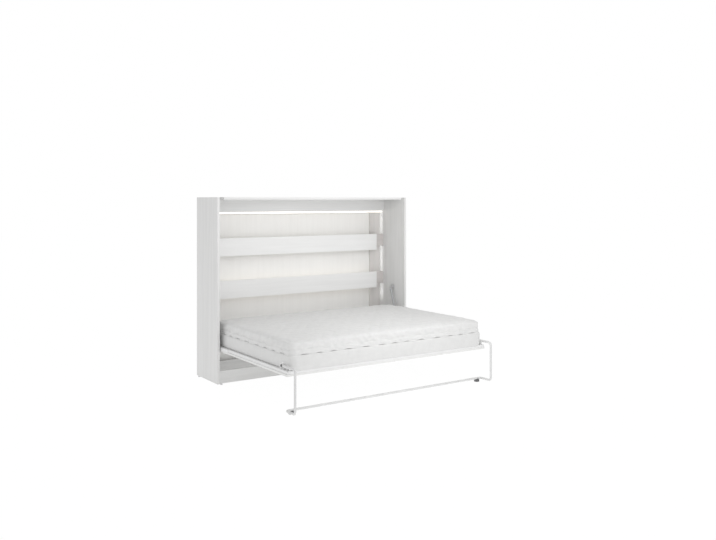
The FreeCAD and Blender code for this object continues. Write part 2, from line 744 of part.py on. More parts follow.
doc.recompute()
os.makedirs("parts", exist_ok=True)
for item in doc.Objects:
    if {"Invalid", "Error"} & set(item.State):
        raise SystemExit(f"{item.Label} failed: {item.State}")
for item in nodes:
    if item.Shape.isNull() or not item.Shape.isValid():
        raise SystemExit(f"{item.Label} has no valid shape")
    item.Shape.exportStep(f"parts/{item.Label}.step")
    box = item.Shape.BoundBox
    print(f"{item.Label:26s} solids {len(item.Shape.Solids):3d} volume "
          f"{item.Shape.Volume / 1000:10.1f} cm3  x {box.XMin:8.1f} {box.XMax:8.1f}  "
          f"y {box.YMin:8.1f} {box.YMax:8.1f}  z {box.ZMin:7.1f} {box.ZMax:7.1f}")
print(f"{len(nodes)} nodes written")
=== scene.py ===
import math

import bmesh
import bpy
import numpy as np
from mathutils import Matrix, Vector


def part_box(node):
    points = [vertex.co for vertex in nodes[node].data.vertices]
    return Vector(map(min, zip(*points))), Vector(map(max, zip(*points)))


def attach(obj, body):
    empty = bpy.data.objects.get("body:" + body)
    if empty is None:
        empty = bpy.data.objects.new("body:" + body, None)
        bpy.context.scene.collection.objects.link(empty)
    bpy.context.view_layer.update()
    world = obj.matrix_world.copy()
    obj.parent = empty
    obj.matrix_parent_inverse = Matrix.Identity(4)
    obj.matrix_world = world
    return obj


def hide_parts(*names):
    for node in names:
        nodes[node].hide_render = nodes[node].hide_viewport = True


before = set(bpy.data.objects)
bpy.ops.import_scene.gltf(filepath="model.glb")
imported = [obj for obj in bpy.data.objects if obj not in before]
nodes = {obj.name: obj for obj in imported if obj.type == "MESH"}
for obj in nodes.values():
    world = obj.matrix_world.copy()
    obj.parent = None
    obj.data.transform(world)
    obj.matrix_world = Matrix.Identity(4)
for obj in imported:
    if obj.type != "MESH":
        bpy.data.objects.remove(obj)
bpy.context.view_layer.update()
scene = bpy.context.scene


# ---------------------------------------------------------------------------------
# Camera, from the photograph's own perspective: eye height just under the cabinet's
# top, to the left of the bed, level, with the picture's centre below the horizon.
# ---------------------------------------------------------------------------------
PHOTO_WIDTH = 716
HORIZON_ABOVE_CENTRE = 70
FOCAL_PIXELS = 784.58
YAW = 0.59717

camera = bpy.data.objects.new("photo_camera", bpy.data.cameras.new("photo_camera"))
scene.collection.objects.link(camera)
camera.location = (-3.97407, -6.08706, 1.66452)
camera.rotation_euler = (math.pi / 2, 0, -YAW)
camera.data.sensor_width = 36
camera.data.lens = 36 * FOCAL_PIXELS / PHOTO_WIDTH
camera.data.shift_y = -HORIZON_ABOVE_CENTRE / PHOTO_WIDTH
scene.camera = camera


# ---------------------------------------------------------------------------------
# Studio: a white surround that lights softly from all sides, a pale floor, one large
# lamp high in front of the bed, one that fills the bay over the mattress, and a narrow
# one behind the rails for the cabinet's far corner.
# ---------------------------------------------------------------------------------
def new_tree(owner):
    """An empty node tree for a material or world, with a maker of wired nodes.

    The maker takes a node's own settings and its inputs by name, with two underscores
    for a space.  An input is given a value, or the output that feeds it.
    """
    owner.use_nodes = True
    tree = owner.node_tree
    tree.nodes.clear()

    def add(kind, **values):
        node = tree.nodes.new(kind)
        for key, value in values.items():
            name = key.replace("__", " ")
            if hasattr(node, key):
                setattr(node, key, value)
            elif isinstance(value, bpy.types.NodeSocket):
                tree.links.new(value, node.inputs[name])
            else:
                node.inputs[name].default_value = value
        return node

    return tree, add


def make_world(surround):
    """White where the camera looks, and a softer white for everything it lights."""
    world = bpy.data.worlds.new("studio")
    scene.world = world
    tree, add = new_tree(world)
    seen = add("ShaderNodeBackground", Color=(1, 1, 1, 1), Strength=1.0)
    lit = add("ShaderNodeBackground", Color=(1, 1, 1, 1), Strength=surround)
    rays = add("ShaderNodeLightPath")
    mix = add("ShaderNodeMixShader")
    tree.links.new(rays.outputs["Is Camera Ray"], mix.inputs[0])
    tree.links.new(lit.outputs[0], mix.inputs[1])
    tree.links.new(seen.outputs[0], mix.inputs[2])
    out = add("ShaderNodeOutputWorld")
    tree.links.new(mix.outputs[0], out.inputs["Surface"])


def make_floor(half_width, own_share, bounce):
    """A pale floor that reads as the white of the surround, with a breath of shadow.

    It gives off light of its own, as a lit white studio floor does, so that what stands
    low over it isn't dark.
    """
    mesh = bpy.data.meshes.new("floor")
    corners = [(-half_width, -half_width, 0), (half_width, -half_width, 0),
               (half_width, half_width, 0), (-half_width, half_width, 0)]
    mesh.from_pydata(corners, [], [(0, 1, 2, 3)])
    floor = bpy.data.objects.new("floor", mesh)
    scene.collection.objects.link(floor)
    material = bpy.data.materials.new("floor_white")
    tree, add = new_tree(material)
    matte = add("ShaderNodeBsdfDiffuse", Color=(0.92, 0.92, 0.92, 1))
    upward = add("ShaderNodeEmission", Color=(1, 1, 1, 1), Strength=bounce)
    lit = add("ShaderNodeAddShader")
    tree.links.new(matte.outputs[0], lit.inputs[0])
    tree.links.new(upward.outputs[0], lit.inputs[1])
    glow = add("ShaderNodeEmission", Color=(1, 1, 1, 1), Strength=1.0)
    rays = add("ShaderNodeLightPath")
    share = add("ShaderNodeMath", operation="MULTIPLY")
    tree.links.new(rays.outputs["Is Camera Ray"], share.inputs[0])
    share.inputs[1].default_value = own_share
    mix = add("ShaderNodeMixShader")
    tree.links.new(share.outputs[0], mix.inputs[0])
    tree.links.new(lit.outputs[0], mix.inputs[1])
    tree.links.new(glow.outputs[0], mix.inputs[2])
    out = add("ShaderNodeOutputMaterial")
    tree.links.new(mix.outputs[0], out.inputs["Surface"])
    mesh.materials.append(material)


def add_lamp(name, place, target, width, power, height=None, spread=180):
    """An area lamp at a place, facing a target; square unless it has a height.

    Its light fans out by the spread, in degrees.
    """
    data = bpy.data.lights.new(name, "AREA")
    data.shape = "RECTANGLE"
    data.size = width
    data.size_y = height or width
    data.energy = power
    data.spread = math.radians(spread)
    lamp = bpy.data.objects.new(name, data)
    scene.collection.objects.link(lamp)
    lamp.location = place
    direction = lamp.location - Vector(target)
    lamp.rotation_euler = direction.to_track_quat("Z", "Y").to_euler()
    lamp.visible_camera = False


scene.view_settings.view_transform = "Standard"
make_world(surround=0.69)
make_floor(half_width=30, own_share=0.96, bounce=0.38)
add_lamp("high_lamp", (-0.6, -3.0, 4.8), (0, -0.2, 0.5), width=4.0, power=27)
add_lamp("bay_lamp", (0.1, -1.3, 1.75), (0.3, 0.9, 0.6), width=1.4, power=10.5)
add_lamp("corner_lamp", (0.80, 0.838, 1.1), (1.04, 0.838, 1.1), width=0.016, power=0.08,
         height=1.0, spread=24)


# ---------------------------------------------------------------------------------
# Board finishes: white laminate with a faint pressed wood grain that runs along the
# board.  One node group makes the grain, and each finish only sets its two tones.  The
# boards are all one white, and their tones differ from board to board as painted light
# and shade: the back boards and rails lighter, the fascia darker than the rails, the
# inner uprights and cleats darker still.
# ---------------------------------------------------------------------------------
def make_grain_group():
    """Grain from stretched noise: fine fibres, broad streaks, and their mix as height."""
    group = bpy.data.node_groups.new("pressed_grain", "ShaderNodeTree")
    interface = group.interface
    interface.new_socket("Vector", in_out="INPUT", socket_type="NodeSocketVector")
    interface.new_socket("Streaks", in_out="OUTPUT", socket_type="NodeSocketFloat")
    interface.new_socket("Height", in_out="OUTPUT", socket_type="NodeSocketFloat")
    link = group.links.new
    source = group.nodes.new("NodeGroupInput")
    result = group.nodes.new("NodeGroupOutput")
    fibres = group.nodes.new("ShaderNodeTexNoise")
    fibres.inputs["Scale"].default_value = 260
    fibres.inputs["Detail"].default_value = 3
    streaks = group.nodes.new("ShaderNodeTexNoise")
    streaks.inputs["Scale"].default_value = 26
    streaks.inputs["Detail"].default_value = 5
    streaks.inputs["Distortion"].default_value = 0.6
    height = group.nodes.new("ShaderNodeMath")
    height.operation = "MULTIPLY_ADD"
    height.inputs[1].default_value = 0.45
    link(source.outputs["Vector"], fibres.inputs["Vector"])
    link(source.outputs["Vector"], streaks.inputs["Vector"])
    link(fibres.outputs["Fac"], height.inputs[0])
    link(streaks.outputs["Fac"], height.inputs[2])
    link(streaks.outputs["Fac"], result.inputs["Streaks"])
    link(height.outputs[0], result.inputs["Height"])
    return group


GRAIN = make_grain_group()
STRETCH = {"x": (0.05, 1, 1), "y": (1, 0.05, 1), "z": (1, 1, 0.05)}


def finish_material(material, add, tree, shader):
    """Wire a shader to the material's output, and give the material back."""
    out = add("ShaderNodeOutputMaterial")
    tree.links.new(shader.outputs[0], out.inputs["Surface"])
    return material


def board_material(name, light, dark, along, roughness=0.42, relief=0.00025):
    """Laminate between two close tones, its grain pressed in along one axis."""
    material = bpy.data.materials.new(name)
    tree, add = new_tree(material)
    place = add("ShaderNodeTexCoord")
    turned = add("ShaderNodeMapping", Vector=place.outputs["Object"], Scale=STRETCH[along])
    grain = add("ShaderNodeGroup", node_tree=GRAIN)
    tree.links.new(turned.outputs[0], grain.inputs["Vector"])
    tone = add("ShaderNodeValToRGB", Fac=grain.outputs["Streaks"])
    tone.color_ramp.elements[0].position = 0.32
    tone.color_ramp.elements[0].color = (*dark, 1)
    tone.color_ramp.elements[1].position = 0.62
    tone.color_ramp.elements[1].color = (*light, 1)
    gloss = add("ShaderNodeMapRange", Value=grain.outputs["Height"])
    gloss.inputs["To Min"].default_value = roughness - 0.06
    gloss.inputs["To Max"].default_value = roughness + 0.1
    bump = add("ShaderNodeBump", Height=grain.outputs["Height"], Distance=relief,
               Strength=0.6)
    shader = add("ShaderNodeBsdfPrincipled", Roughness=gloss.outputs[0])
    tree.links.new(tone.outputs[0], shader.inputs["Base Color"])
    tree.links.new(bump.outputs[0], shader.inputs["Normal"])
    return finish_material(material, add, tree, shader)


def dress(material, *names):
    """Give the CAD nodes of these names one finish."""
    for name in names:
        node = nodes[name]
        if not node.material_slots:
            node.data.materials.append(material)
        for held in node.material_slots:
            held.material = material


outer_white = (0.755, 0.755, 0.75)
outer_grain = (0.71, 0.71, 0.705)
dress(board_material("carcass_upright", outer_white, outer_grain, "z"),
      "side_panel_left", "side_panel_right")
dress(board_material("carcass_level", outer_white, outer_grain, "x"),
      "top_panel", "plinth_board", "rear_floor_rail")
# Painted light: the back boards and rails are the carcass's white, set lighter so that the
# deep bay behind the fascia reads as lit.
dress(board_material("back_board", (0.90, 0.895, 0.88), (0.875, 0.87, 0.855), "z",
                     roughness=0.5, relief=0.0001),
      "back_panel_lower", "back_panel_upper")
dress(board_material("inner_level", (0.88, 0.88, 0.875), (0.845, 0.845, 0.84), "x"),
      "rail_upper", "rail_lower")
# Painted shade: the fascia is the rails' white, set darker for the shade it stands in under
# the top.
dress(board_material("fascia_level", (0.80, 0.80, 0.795), (0.765, 0.765, 0.76), "x"),
      "fascia_board")
# Painted shade: the inner uprights are white boards, painted a darker warm grey for the
# shade at the cabinet's far corners.
dress(board_material("upright_painted_shade", (0.70, 0.68, 0.665), (0.66, 0.64, 0.625), "z"),
      "upright_left", "upright_right")
# Painted shade: the cleats are painted grey for the shade the rails cast at their ends.
dress(board_material("cleat_painted_shade", (0.66, 0.625, 0.61), (0.61, 0.58, 0.565), "x"),
      "rail_cleats")
dress(board_material("face_board", (0.80, 0.80, 0.79), (0.75, 0.75, 0.74), "y"),
      "face_panel_1", "face_panel_2", "face_panel_3", "face_panel_4")
dress(board_material("stop_board", (0.80, 0.80, 0.79), (0.75, 0.75, 0.74), "x"),
      "mattress_stop")


# ---------------------------------------------------------------------------------
# Light channels: milky diffusers on the backs of the fascia and rails.  Their warm
# light washes the back wall, a little stronger over each diode than between two.
# ---------------------------------------------------------------------------------
def diffuser_material(name, strength, diode_pitch):
    """Warm emission along X, with soft bright spots a diode's pitch apart."""
    material = bpy.data.materials.new(name)
    tree, add = new_tree(material)
    place = add("ShaderNodeTexCoord")
    spots = add("ShaderNodeTexWave", Vector=place.outputs["Object"],
                Scale=math.tau / 20 / diode_pitch)
    power = add("ShaderNodeMapRange", Value=spots.outputs["Fac"])
    power.inputs["To Min"].default_value = strength * 0.85
    power.inputs["To Max"].default_value = strength * 1.15
    shader = add("ShaderNodeBsdfPrincipled", Roughness=0.3,
                 Emission__Strength=power.outputs[0])
    shader.inputs["Base Color"].default_value = (0.9, 0.88, 0.84, 1)
    shader.inputs["Emission Color"].default_value = (1.0, 0.94, 0.86, 1)
    return finish_material(material, add, tree, shader)


dress(diffuser_material("upper_rail_light", strength=0.35, diode_pitch=0.016),
      "led_channels_rail_upper")
dress(diffuser_material("lower_rail_light", strength=1.2, diode_pitch=0.016),
      "led_channels_rail_lower")
dress(diffuser_material("fascia_light", strength=1.25, diode_pitch=0.016),
      "led_channel_fascia")


# ---------------------------------------------------------------------------------
# Metal: white powder coat with a fine orange peel on the frame and leg, zinc on the
# fittings with drawn marks, grey paint on the gas springs, black rubber underfoot.
# ---------------------------------------------------------------------------------
def coated_material(name, colour, roughness, peel_scale, relief):
    """A coat with a fine uneven surface and slightly uneven tone."""
    material = bpy.data.materials.new(name)
    tree, add = new_tree(material)
    place = add("ShaderNodeTexCoord")
    peel = add("ShaderNodeTexNoise", Vector=place.outputs["Object"], Scale=peel_scale,
               Detail=2.0)
    cloud = add("ShaderNodeTexNoise", Vector=place.outputs["Object"], Scale=9.0, Detail=3.0)
    tone = add("ShaderNodeValToRGB", Fac=cloud.outputs["Fac"])
    tone.color_ramp.elements[0].position = 0.3
    tone.color_ramp.elements[0].color = (*[channel * 0.94 for channel in colour], 1)
    tone.color_ramp.elements[1].position = 0.7
    tone.color_ramp.elements[1].color = (*colour, 1)
    bump = add("ShaderNodeBump", Height=peel.outputs["Fac"], Distance=relief, Strength=0.5)
    gloss = add("ShaderNodeMapRange", Value=cloud.outputs["Fac"])
    gloss.inputs["To Min"].default_value = roughness - 0.07
    gloss.inputs["To Max"].default_value = roughness + 0.07
    shader = add("ShaderNodeBsdfPrincipled", Roughness=gloss.outputs[0])
    tree.links.new(tone.outputs[0], shader.inputs["Base Color"])
    tree.links.new(bump.outputs[0], shader.inputs["Normal"])
    return finish_material(material, add, tree, shader)


def steel_material(name, colour, roughness):
    """Zinc-plated steel: fine marks round and along the piece, dulled in patches."""
    material = bpy.data.materials.new(name)
    tree, add = new_tree(material)
    place = add("ShaderNodeTexCoord")
    drawn = add("ShaderNodeMapping", Vector=place.outputs["Object"], Scale=(0.15, 1, 1))
    marks = add("ShaderNodeTexNoise", Vector=drawn.outputs[0], Scale=900.0, Detail=2.0)
    cloud = add("ShaderNodeTexNoise", Vector=place.outputs["Object"], Scale=60.0,
                Detail=4.0)
    gloss = add("ShaderNodeMapRange", Value=cloud.outputs["Fac"])
    gloss.inputs["To Min"].default_value = roughness - 0.08
    gloss.inputs["To Max"].default_value = roughness + 0.14
    bump = add("ShaderNodeBump", Height=marks.outputs["Fac"], Distance=0.00005,
               Strength=0.4)
    shader = add("ShaderNodeBsdfPrincipled", Metallic=1.0, Roughness=gloss.outputs[0])
    shader.inputs["Base Color"].default_value = (*colour, 1)
    tree.links.new(bump.outputs[0], shader.inputs["Normal"])
    return finish_material(material, add, tree, shader)


white_coat = coated_material("white_powder_coat", (0.84, 0.84, 0.84), 0.38, 900.0, 0.0001)
dress(white_coat, "frame_front_tube", "frame_rear_tube", "frame_side_tube_left",
      "frame_side_tube_right", "frame_centre_beam", "slat_ledges", "leg_bracket_left",
      "leg_bracket_right", "hinge_arm_left", "hinge_arm_right")
# Painted shade: the leg loop is the frame's white powder coat, set darker as if it stood in
# shade.
dress(coated_material("leg_coat_painted_shade", (0.71, 0.71, 0.71), 0.38, 900.0, 0.0001), "leg_loop")
dress(steel_material("zinc_steel", (0.66, 0.66, 0.67), 0.34),
      "levelling_feet", "hinge_plate_left", "hinge_plate_right", "pivot_pins",
      "pivot_bushes", "gas_plates", "gas_studs_top", "gas_studs_foot",
      "hinge_plate_screws", "gas_plate_screws",
      "gas_eye_left", "gas_eye_right", "gas_rod_end_left", "gas_rod_end_right",
      "gas_rod_left", "gas_rod_right")
dress(steel_material("blackened_steel", (0.12, 0.12, 0.12), 0.45), "leg_pins",
      "leg_bracket_bolts")
dress(coated_material("spring_grey", (0.42, 0.43, 0.44), 0.4, 700.0, 0.00005),
      "gas_cylinder_left", "gas_cylinder_right")
dress(coated_material("foot_rubber", (0.14, 0.14, 0.145), 0.75, 500.0, 0.0002),
      "leg_foot_left", "leg_foot_right")


# ---------------------------------------------------------------------------------
# Slats: birch plywood, its grain along each slat and its plies showing at the edges.
# ---------------------------------------------------------------------------------
def plywood_material(name, ply):
    """Pale veneer with long figure, crossed by thin plies through the thickness."""
    material = bpy.data.materials.new(name)
    tree, add = new_tree(material)
    place = add("ShaderNodeTexCoord")
    turned = add("ShaderNodeMapping", Vector=place.outputs["Object"], Scale=STRETCH["y"])
    figure = add("ShaderNodeTexNoise", Vector=turned.outputs[0], Scale=60.0, Detail=6.0,
                 Distortion=1.2)
    tone = add("ShaderNodeValToRGB", Fac=figure.outputs["Fac"])
    tone.color_ramp.elements[0].position = 0.35
    tone.color_ramp.elements[0].color = (0.55, 0.40, 0.23, 1)
    tone.color_ramp.elements[1].position = 0.65
    tone.color_ramp.elements[1].color = (0.72, 0.57, 0.37, 1)
    plies = add("ShaderNodeTexWave", Vector=place.outputs["Object"], bands_direction="Z",
                Scale=math.tau / 20 / ply)
    bump = add("ShaderNodeBump", Height=figure.outputs["Fac"], Distance=0.0002,
               Strength=0.5)
    edge = add("ShaderNodeBump", Height=plies.outputs["Fac"], Distance=0.0001,
               Strength=0.3, Normal=bump.outputs[0])
    shader = add("ShaderNodeBsdfPrincipled", Roughness=0.55)
    tree.links.new(tone.outputs[0], shader.inputs["Base Color"])
    tree.links.new(edge.outputs[0], shader.inputs["Normal"])
    return finish_material(material, add, tree, shader)


dress(plywood_material("slat_plywood", ply=0.0015), "slats")


# ---------------------------------------------------------------------------------
# Mattress core: a box of foam in a soft knit, swollen between its two seams, lying on
# the slats and over the frame's tubes, its front lip hanging a little in front of them.
# ---------------------------------------------------------------------------------
def knit_material(name, light, dark, stitch, wrinkle):
    """Two crossed ribs a stitch apart, under slow folds, with a cloth sheen.  The colour is
    darker in the folds' hollows, as painted shade.
    """
    material = bpy.data.materials.new(name)
    tree, add = new_tree(material)
    place = add("ShaderNodeTexCoord")
    ribs = [add("ShaderNodeTexWave", Vector=place.outputs["Object"], bands_direction=axis,
                Scale=math.tau / 20 / stitch, Distortion=0.8, Detail=1.0)
            for axis in ("X", "Y")]
    crossed = add("ShaderNodeMath", operation="MULTIPLY")
    for index, rib in enumerate(ribs):
        tree.links.new(rib.outputs["Fac"], crossed.inputs[index])
    folds = add("ShaderNodeTexNoise", Vector=place.outputs["Object"], Scale=22.0,
                Detail=4.0, Distortion=0.4)
    # Painted shade: the same folds that set the bump make the cloth darker in their
    # hollows.
    tone = add("ShaderNodeValToRGB", Fac=folds.outputs["Fac"])
    tone.color_ramp.elements[0].position = 0.3
    tone.color_ramp.elements[0].color = (*dark, 1)
    tone.color_ramp.elements[1].position = 0.6
    tone.color_ramp.elements[1].color = (*light, 1)
    slow = add("ShaderNodeBump", Height=folds.outputs["Fac"], Distance=wrinkle,
               Strength=0.6)
    fine = add("ShaderNodeBump", Height=crossed.outputs[0], Distance=0.0004, Strength=0.5,
               Normal=slow.outputs[0])
    shader = add("ShaderNodeBsdfPrincipled", Roughness=0.85, Sheen__Weight=0.25,
                 Sheen__Roughness=0.5)
    tree.links.new(tone.outputs[0], shader.inputs["Base Color"])
    tree.links.new(fine.outputs[0], shader.inputs["Normal"])
    return finish_material(material, add, tree, shader)


TINY = 1e-9                            # keeps a division by a length of nothing safe


def graded(low, high, cell):
    """Grid positions along one side: close together near the two ends, even between."""
    fine = [0, 0.003, 0.006, 0.010, 0.015, 0.022, 0.031, 0.042, 0.055, 0.070]
    count = max(int((high - low - 2 * fine[-1]) / cell), 2)
    middle = np.linspace(low + fine[-1], high - fine[-1], count + 1)[1:-1]
    return np.concatenate([[low + step for step in fine], middle,
                           [high - step for step in reversed(fine)]])


def to_arc(u, v):
    """Turn a square's corner into a quarter circle: (u, v) * max(u, v) / |(u, v)|."""
    length = np.maximum(np.hypot(u, v), TINY)
    scale = np.maximum(u, v) / length
    return u * scale, v * scale


def square_box(low, high, lines):
    """A closed box of quads whose edges and faces are divided at the lines of each axis."""
    made = bmesh.new()
    for axis in range(3):
        u, v = (axis + 1) % 3, (axis + 2) % 3
        for end in (0, 1):
            rows = []
            for along_u in lines[u]:
                row = []
                for along_v in lines[v]:
                    point = [0, 0, 0]
                    point[axis] = high[axis] if end else low[axis]
                    point[u], point[v] = along_u, along_v
                    row.append(made.verts.new(point))
                rows.append(row)
            for row, following in zip(rows, rows[1:]):
                for j in range(len(row) - 1):
                    face = [row[j], following[j], following[j + 1], row[j + 1]]
                    made.faces.new(face if end else face[::-1])
    weld_distance = 1e-5
    bmesh.ops.remove_doubles(made, verts=made.verts, dist=weld_distance)
    mesh = bpy.data.meshes.new("soft_box")
    made.to_mesh(mesh)
    made.free()
    return mesh


def soft_box(low, high, corner, foot_round, top_round, cell):
    """A closed box rounded in plan by the corner radius.

    Its lower and upper edges have radii of their own.  The box starts square, and each
    corner and then each edge goes to its arc.
    """
    low, high = np.array(low, float), np.array(high, float)
    wall_rows = 7
    on_arc = np.array([0, 0.12, 0.3, 0.55, 0.8])
    levels = np.concatenate([low[2] + foot_round * on_arc,
                             np.linspace(low[2] + foot_round, high[2] - top_round,
                                         wall_rows),
                             high[2] - top_round * on_arc[::-1]])
    mesh = square_box(low, high, [graded(low[0], high[0], cell),
                                  graded(low[1], high[1], cell), levels])
    points = mesh_points(mesh)
    held = np.clip(points[:, :2], low[:2] + corner, high[:2] - corner)
    away = points[:, :2] - held
    arc_x, arc_y = to_arc(np.abs(away[:, 0]), np.abs(away[:, 1]))
    outward = np.sign(away) * np.column_stack([arc_x, arc_y])
    plan = held + outward
    reach = np.hypot(arc_x, arc_y)
    outward /= np.maximum(reach, TINY)[:, None]
    for radius, upward, height in (
            (top_round, 1, points[:, 2] - (high[2] - top_round)),
            (foot_round, -1, low[2] + foot_round - points[:, 2])):
        inner = np.maximum(reach - (corner - radius), 0)
        rise = np.maximum(height, 0)
        near = (inner > 0) & (rise > 0)
        new_inner, new_rise = to_arc(inner, rise)
        plan[near] += outward[near] * (new_inner - inner)[near, None]
        points[near, 2] += upward * (new_rise - rise)[near]
    points[:, :2] = plan
    put_points(mesh, points)
    return mesh


def mesh_points(mesh):
    """A mesh's points as rows of x, y and z."""
    points = np.zeros(len(mesh.vertices) * 3)
    mesh.vertices.foreach_get("co", points)
    return points.reshape(-1, 3)


def put_points(mesh, points):
    """Give a mesh's points new places."""
    mesh.vertices.foreach_set("co", points.ravel())
    mesh.update()


def add_piece(name, mesh, material, body):
    """Hang a mesh in the scene on its body, smooth, in one material."""
    mesh.name = name
    mesh.shade_smooth()
    mesh.materials.append(material)
    piece = bpy.data.objects.new(name, mesh)
    scene.collection.objects.link(piece)
    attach(piece, body)
    return piece


def swell(mesh, held, pressure, give, cap):
    """Blow the cloth up between its seams by simulation, no point further than the cap.

    held says which points stay where they are, and give is the share by which the cloth
    may grow.
    """
    piece = bpy.data.objects.new("swelling", mesh)
    scene.collection.objects.link(piece)
    seams = piece.vertex_groups.new(name="seams")
    seams.add([int(index) for index in np.flatnonzero(held)], 1.0, "REPLACE")
    cloth = piece.modifiers.new("swell", "CLOTH")
    settings = cloth.settings
    settings.quality = 5
    settings.mass = 0.3
    settings.tension_stiffness = 12
    settings.compression_stiffness = 12
    settings.bending_stiffness = 0.3
    settings.shrink_min = -give
    settings.use_pressure = True
    settings.uniform_pressure_force = pressure
    settings.effector_weights.gravity = 0
    settings.vertex_group_mass = "seams"
    cloth.collision_settings.use_collision = False
    rest = mesh_points(mesh)
    first_frame, last_frame = 1, 20
    for moment in range(first_frame, last_frame + 1):
        scene.frame_set(moment)
    blown = piece.evaluated_get(bpy.context.evaluated_depsgraph_get())
    moved = mesh_points(blown.data) - rest
    length = np.maximum(np.linalg.norm(moved, axis=1), TINY)
    moved *= np.minimum(1, cap / length)[:, None]
    scene.frame_set(first_frame)
    bpy.data.objects.remove(piece)
    put_points(mesh, rest + moved)


def refine(mesh):
    """The same mesh with one level of subdivision baked in."""
    piece = bpy.data.objects.new("refining", mesh)
    scene.collection.objects.link(piece)
    level = piece.modifiers.new("finer", "SUBSURF")
    level.levels = 1
    level.render_levels = 1
    finer = piece.evaluated_get(bpy.context.evaluated_depsgraph_get())
    result = bpy.data.meshes.new_from_object(finer)
    bpy.data.objects.remove(piece)
    return result


def smooth_step(low, high, value):
    """0 up to low, 1 from high, and 3 t^2 - 2 t^3 between them."""
    t = np.clip((value - low) / (high - low), 0, 1)
    return t * t * (3 - 2 * t)


def push_out(points, low, high, corner, amount):
    """Move the points near the side walls outwards in plan, each by its own amount."""
    held = np.clip(points[:, :2], low[:2] + corner, high[:2] - corner)
    away = points[:, :2] - held
    reach = np.linalg.norm(away, axis=1)
    share = smooth_step(corner * 0.5, corner * 0.95, reach)
    outward = away / np.maximum(reach, TINY)[:, None]
    points[:, :2] += outward * (share * amount)[:, None]


core_box = [np.array(corner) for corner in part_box("mattress_core")]
core_low = core_box[0] + (-0.005, -0.0125, 0.0003)
core_high = core_box[1] + (0.005, 0.001, -0.002)
core_mesh = soft_box(core_low, core_high, corner=0.055, foot_round=0.010, top_round=0.014,
                     cell=0.030)
core_share = (mesh_points(core_mesh)[:, 2] - core_low[2]) / (core_high[2] - core_low[2])
swell(core_mesh, held=(core_share < 0.12) | (core_share > 0.88), pressure=1.0, give=0.004,
      cap=0.004)
core_mesh = refine(core_mesh)
core_points = mesh_points(core_mesh)
tube_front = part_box("frame_front_tube")[0][1]
before_tube = smooth_step(0.0005, 0.003, tube_front - core_points[:, 1])
near_foot = 1 - smooth_step(0.0, 0.03, core_points[:, 2] - core_low[2])
lip_drop = 0.008
core_points[:, 2] -= lip_drop * before_tube * near_foot
put_points(core_mesh, core_points)
core = add_piece("mattress_core_soft", core_mesh,
                 knit_material("core_knit", (0.725, 0.725, 0.72), (0.70, 0.70, 0.695),
                               stitch=0.003, wrinkle=0.0012),
                 "bed")
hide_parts("mattress_core")


# ---------------------------------------------------------------------------------
# Quilted cover: a topper whose border hangs over the core's seam in scallops, with a
# stitched line round it, and diamonds stitched through its crowned top.
# ---------------------------------------------------------------------------------
def around(points):
    """One number that runs on round the sides, for waves along the border."""
    return points[:, 0] + points[:, 1] * 0.93


def crown_and_quilt(points, low, high, pitch, depth, crown):
    """Crown the top and press the stitched lines into it.

    Two families of lines run at a slant, a = (x + 0.8 y) / pitch and
    b = (x - 0.8 y) / pitch, each wavering a little.  The fabric stands highest where
    |sin(pi a)| and |sin(pi b)| are both large, and dips on the lines.
    """
    x, y, z = points.T
    along = (x - (low[0] + high[0]) / 2) / (high[0] - low[0]) * 2
    over = (y - (low[1] + high[1]) / 2) / (high[1] - low[1]) * 2
    waver = 0.06 * np.sin(x * 23 + 1.3 * np.sin(y * 17)) + 0.05 * np.sin(y * 29)
    a = (x + 0.8 * y) / pitch + waver
    b = (x - 0.8 * y) / pitch + waver
    puff = np.sqrt(np.abs(np.sin(np.pi * a)) * np.abs(np.sin(np.pi * b)))
    height = (z - low[2]) / (high[2] - low[2])
    on_top = smooth_step(0.86, 0.99, height)
    edge = np.minimum((1 - np.abs(along)) * (high[0] - low[0]) / 2,
                      (1 - np.abs(over)) * (high[1] - low[1]) / 2)
    inward = 0.35 + 0.65 * smooth_step(0.0, 0.10, edge)
    points[:, 2] += on_top * (crown * (1 - np.abs(along) ** 5) * (1 - np.abs(over) ** 5)
                              - depth * (1 - puff) * inward)


def shape_border(points, low, high, corner, line, dip, ripple):
    """Press a stitched line into the border and let the cloth ripple above and below.

    The line runs at a share of the border's height, and wavers.  Its groove is a bell
    curve of the height over it.
    """
    height = (points[:, 2] - low[2]) / (high[2] - low[2])
    run = around(points)
    level = line + 0.045 * np.sin(run * 37 + 1.4 * np.sin(run * 15))
    groove = np.exp(-((height - level) / 0.055) ** 2)
    waves = np.sin(run * 61 + 2.2 * np.sin(run * 19) + 9 * height)
    fade = smooth_step(0.0, 0.2, height) * (1 - smooth_step(0.75, 0.97, height))
    push_out(points, low, high, corner, fade * (ripple * waves - dip * groove))


cover_box = [np.array(corner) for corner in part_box("mattress_cover")]
cover_crown = 0.010
cover_low = cover_box[0] + (-0.003, -0.006, 0.0)
cover_high = cover_box[1] + (0.003, 0.002, -cover_crown)
cover_corner = 0.056
cover_mesh = soft_box(cover_low, cover_high, cover_corner, foot_round=0.008,
                      top_round=0.022, cell=0.020)
cover_share = ((mesh_points(cover_mesh)[:, 2] - cover_low[2])
               / (cover_high[2] - cover_low[2]))
stitch_share = 0.36
swell(cover_mesh, held=(cover_share < 0.06) | (np.abs(cover_share - stitch_share) < 0.05),
      pressure=0.6, give=0.010, cap=0.006)
cover_mesh = refine(cover_mesh)
cover_points = mesh_points(cover_mesh)
shape_border(cover_points, cover_low, cover_high, cover_corner, line=stitch_share,
             dip=0.005, ripple=0.0016)
crown_and_quilt(cover_points, cover_low, cover_high, pitch=0.115, depth=0.006,
                crown=cover_crown)
put_points(cover_mesh, cover_points)
cover = add_piece("mattress_cover_quilted", cover_mesh,
                  knit_material("quilt_knit", (0.74, 0.74, 0.735), (0.695, 0.695, 0.69),
                                stitch=0.004, wrinkle=0.0022),
                  "bed")
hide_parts("mattress_cover")


